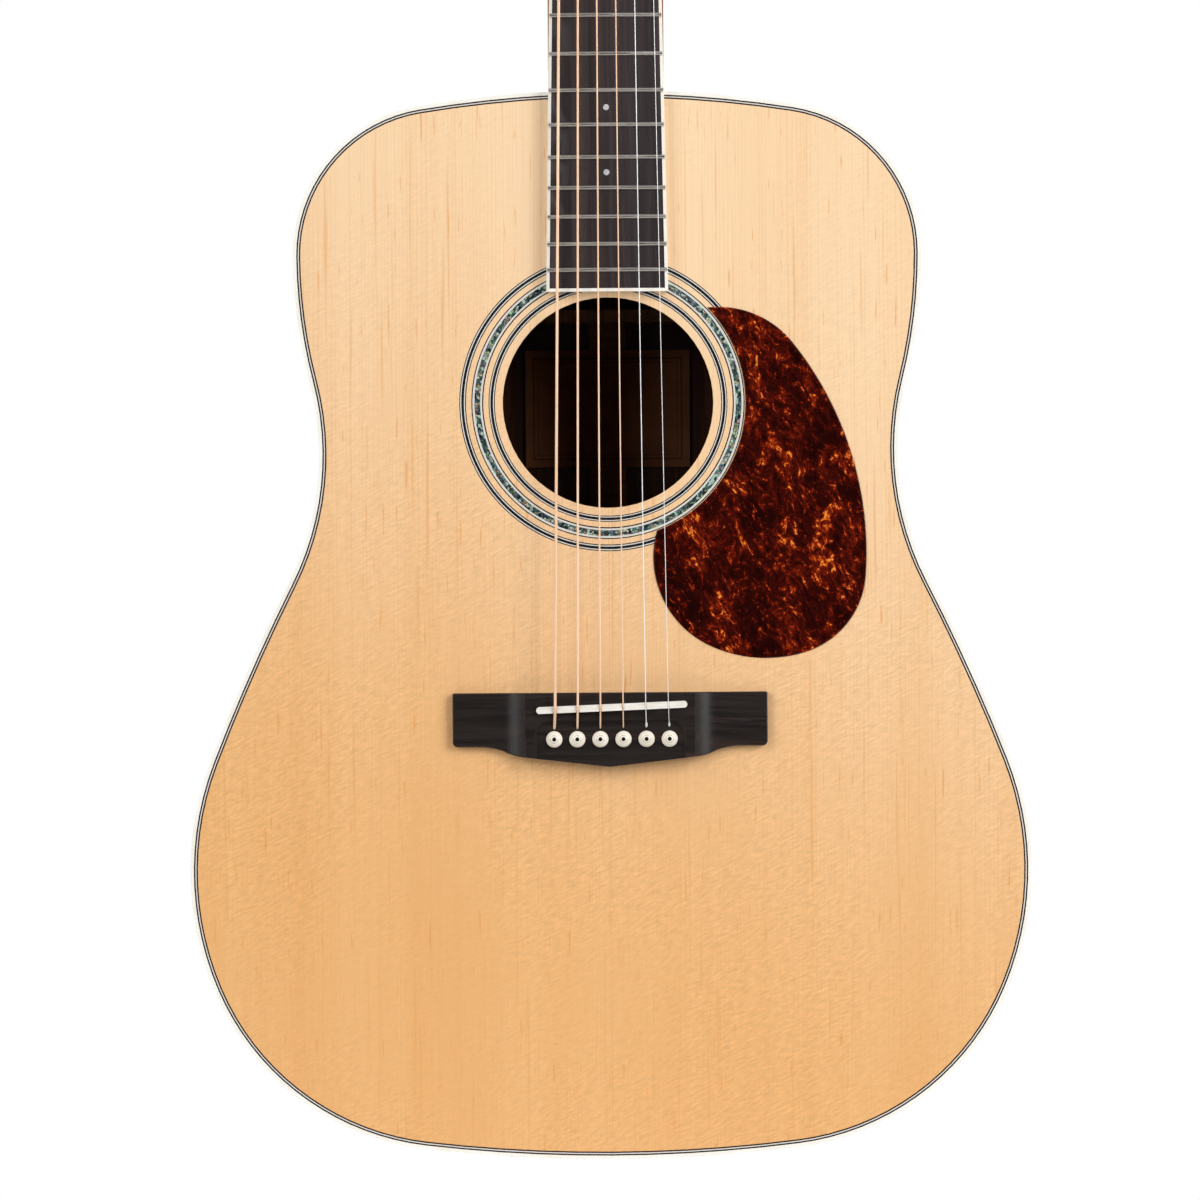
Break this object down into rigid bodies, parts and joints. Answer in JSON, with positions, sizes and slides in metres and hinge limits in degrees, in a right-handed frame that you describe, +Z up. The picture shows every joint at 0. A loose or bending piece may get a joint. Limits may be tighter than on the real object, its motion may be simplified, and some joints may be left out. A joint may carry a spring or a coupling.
{
  "type": "acoustic guitar",
  "caption": "Steel-string acoustic guitar with a hollow body, round soundhole, pickguard, pinned bridge, fretted neck and geared tuners that turn.",
  "frame": {"origin": "on the centreline at the fingerboard's end of the nut, in the plane of the soundboard's face, where a hanger's yoke holds the neck", "axes": "+Z up the neck towards the headstock, -Y out of the soundboard's face, +X towards the treble side"},
  "size_m": [0.3938, 0.1337, 1.0379],
  "materials": {
    "spruce": "gloss lacquer",
    "rosewood_body": "gloss lacquer",
    "graft_maple": "gloss lacquer",
    "inner_wood": "raw",
    "brace_spruce": "raw",
    "bridge_plate_maple": "raw",
    "seam_spruce": "raw",
    "label_paper": "matte",
    "binding_ivory": "gloss",
    "line_black": "gloss",
    "line_white": "gloss",
    "abalone": "gloss",
    "pickguard_tortoise": "gloss",
    "bridge_rosewood": "satin, oiled",
    "bone": "polished",
    "pin_ivory": "gloss",
    "neck_mahogany": "satin lacquer",
    "veneer_rosewood": "gloss lacquer",
    "fingerboard_rosewood": "satin, oiled",
    "fret_nickel": "polished",
    "pearl": "gloss",
    "dot_black": "satin",
    "rod_steel": "plain",
    "nut_brass": "plain",
    "cover_black": "gloss",
    "screw_chrome": "polished",
    "tuner_chrome": "polished",
    "string_bronze": "wound",
    "string_steel": "plain",
    "ball_brass": "plain"
  },
  "bodies": {
    "root": {"soundboard": "spruce", "back_plate": "rosewood_body", "side_bass": "rosewood_body", "side_treble": "rosewood_body", "end_graft": "graft_maple", "linings": "inner_wood", "neck_block": "inner_wood", "tail_block": "inner_wood", "x_brace": "brace_spruce", "top_braces": "brace_spruce", "bridge_plate": "bridge_plate_maple", "back_braces": "brace_spruce", "back_centre_strip": "seam_spruce", "soundhole_label": "label_paper", "binding": "binding_ivory", "purfling_black": "line_black", "purfling_white": "line_white", "rosette_black": "line_black", "rosette_white": "line_white", "rosette_abalone": "abalone", "pickguard": "pickguard_tortoise", "bridge": "bridge_rosewood", "saddle": "bone", "neck": "neck_mahogany", "heel_cap": "binding_ivory", "neck_bolts": "rod_steel", "headstock_veneer": "veneer_rosewood", "fingerboard": "fingerboard_rosewood", "fingerboard_binding": "binding_ivory", "frets": "fret_nickel", "position_dots": "pearl", "side_dots": "dot_black", "nut": "bone", "truss_rod": "rod_steel", "truss_rod_cover": "cover_black", "headstock_screws": "screw_chrome", "tuner_housings": "tuner_chrome", "tuner_bushings": "tuner_chrome", "strings_wound": "string_bronze", "strings_plain": "string_steel", "string_ball_ends": "ball_brass"},
    "tuner_button_1": {"tuner_button_1": "tuner_chrome"},
    "string_post_1": {"string_post_1": "tuner_chrome"},
    "tuner_button_2": {"tuner_button_2": "tuner_chrome"},
    "string_post_2": {"string_post_2": "tuner_chrome"},
    "tuner_button_3": {"tuner_button_3": "tuner_chrome"},
    "string_post_3": {"string_post_3": "tuner_chrome"},
    "tuner_button_4": {"tuner_button_4": "tuner_chrome"},
    "string_post_4": {"string_post_4": "tuner_chrome"},
    "tuner_button_5": {"tuner_button_5": "tuner_chrome"},
    "string_post_5": {"string_post_5": "tuner_chrome"},
    "tuner_button_6": {"tuner_button_6": "tuner_chrome"},
    "string_post_6": {"string_post_6": "tuner_chrome"},
    "bridge_pin_1": {"bridge_pin_1": "pin_ivory"},
    "bridge_pin_2": {"bridge_pin_2": "pin_ivory"},
    "bridge_pin_3": {"bridge_pin_3": "pin_ivory"},
    "bridge_pin_4": {"bridge_pin_4": "pin_ivory"},
    "bridge_pin_5": {"bridge_pin_5": "pin_ivory"},
    "bridge_pin_6": {"bridge_pin_6": "pin_ivory"},
    "truss_rod_nut": {"truss_rod_nut": "nut_brass"}
  },
  "joints": [
    {"name": "tuner_button_1_turn", "type": "hinge", "parent": "root", "child": "tuner_button_1", "pos_m": [0.0255, 0.03041, 0.05108], "axis": [1, 0, 0], "continuous": true},
    {"name": "string_post_1_turn", "type": "hinge", "parent": "root", "child": "string_post_1", "pos_m": [0.0255, 0.01064, 0.04869], "axis": [0, -0.9703, 0.2419], "continuous": true},
    {"name": "tuner_button_2_turn", "type": "hinge", "parent": "root", "child": "tuner_button_2", "pos_m": [0.0255, 0.04009, 0.08989], "axis": [1, 0, 0], "continuous": true},
    {"name": "string_post_2_turn", "type": "hinge", "parent": "root", "child": "string_post_2", "pos_m": [0.0255, 0.02032, 0.0875], "axis": [0, -0.9703, 0.2419], "continuous": true},
    {"name": "tuner_button_3_turn", "type": "hinge", "parent": "root", "child": "tuner_button_3", "pos_m": [0.0255, 0.04976, 0.12871], "axis": [1, 0, 0], "continuous": true},
    {"name": "string_post_3_turn", "type": "hinge", "parent": "root", "child": "string_post_3", "pos_m": [0.0255, 0.03, 0.12632], "axis": [0, -0.9703, 0.2419], "continuous": true},
    {"name": "tuner_button_4_turn", "type": "hinge", "parent": "root", "child": "tuner_button_4", "pos_m": [-0.0255, 0.04976, 0.12871], "axis": [-1, 0, 0], "continuous": true},
    {"name": "string_post_4_turn", "type": "hinge", "parent": "root", "child": "string_post_4", "pos_m": [-0.0255, 0.03, 0.12632], "axis": [0, -0.9703, 0.2419], "continuous": true},
    {"name": "tuner_button_5_turn", "type": "hinge", "parent": "root", "child": "tuner_button_5", "pos_m": [-0.0255, 0.04009, 0.08989], "axis": [-1, 0, 0], "continuous": true},
    {"name": "string_post_5_turn", "type": "hinge", "parent": "root", "child": "string_post_5", "pos_m": [-0.0255, 0.02032, 0.0875], "axis": [0, -0.9703, 0.2419], "continuous": true},
    {"name": "tuner_button_6_turn", "type": "hinge", "parent": "root", "child": "tuner_button_6", "pos_m": [-0.0255, 0.03041, 0.05108], "axis": [-1, 0, 0], "continuous": true},
    {"name": "string_post_6_turn", "type": "hinge", "parent": "root", "child": "string_post_6", "pos_m": [-0.0255, 0.01064, 0.04869], "axis": [0, -0.9703, 0.2419], "continuous": true},
    {"name": "bridge_pin_1_pull", "type": "slide", "parent": "root", "child": "bridge_pin_1", "axis": [0, -1, 0], "range_m": [0, 0.03]},
    {"name": "bridge_pin_2_pull", "type": "slide", "parent": "root", "child": "bridge_pin_2", "axis": [0, -1, 0], "range_m": [0, 0.03]},
    {"name": "bridge_pin_3_pull", "type": "slide", "parent": "root", "child": "bridge_pin_3", "axis": [0, -1, 0], "range_m": [0, 0.03]},
    {"name": "bridge_pin_4_pull", "type": "slide", "parent": "root", "child": "bridge_pin_4", "axis": [0, -1, 0], "range_m": [0, 0.03]},
    {"name": "bridge_pin_5_pull", "type": "slide", "parent": "root", "child": "bridge_pin_5", "axis": [0, -1, 0], "range_m": [0, 0.03]},
    {"name": "bridge_pin_6_pull", "type": "slide", "parent": "root", "child": "bridge_pin_6", "axis": [0, -1, 0], "range_m": [0, 0.03]},
    {"name": "truss_rod_nut_turn", "type": "hinge", "parent": "root", "child": "truss_rod_nut", "pos_m": [0, 0.0064, 0.015], "axis": [0, 0, 1], "range_deg": [-180, 180]}
  ],
  "couplings": [
    {"joint": "string_post_1_turn", "follows": "tuner_button_1_turn", "ratio": 0.071429},
    {"joint": "string_post_2_turn", "follows": "tuner_button_2_turn", "ratio": 0.071429},
    {"joint": "string_post_3_turn", "follows": "tuner_button_3_turn", "ratio": 0.071429},
    {"joint": "string_post_4_turn", "follows": "tuner_button_4_turn", "ratio": 0.071429},
    {"joint": "string_post_5_turn", "follows": "tuner_button_5_turn", "ratio": 0.071429},
    {"joint": "string_post_6_turn", "follows": "tuner_button_6_turn", "ratio": 0.071429}
  ]
}
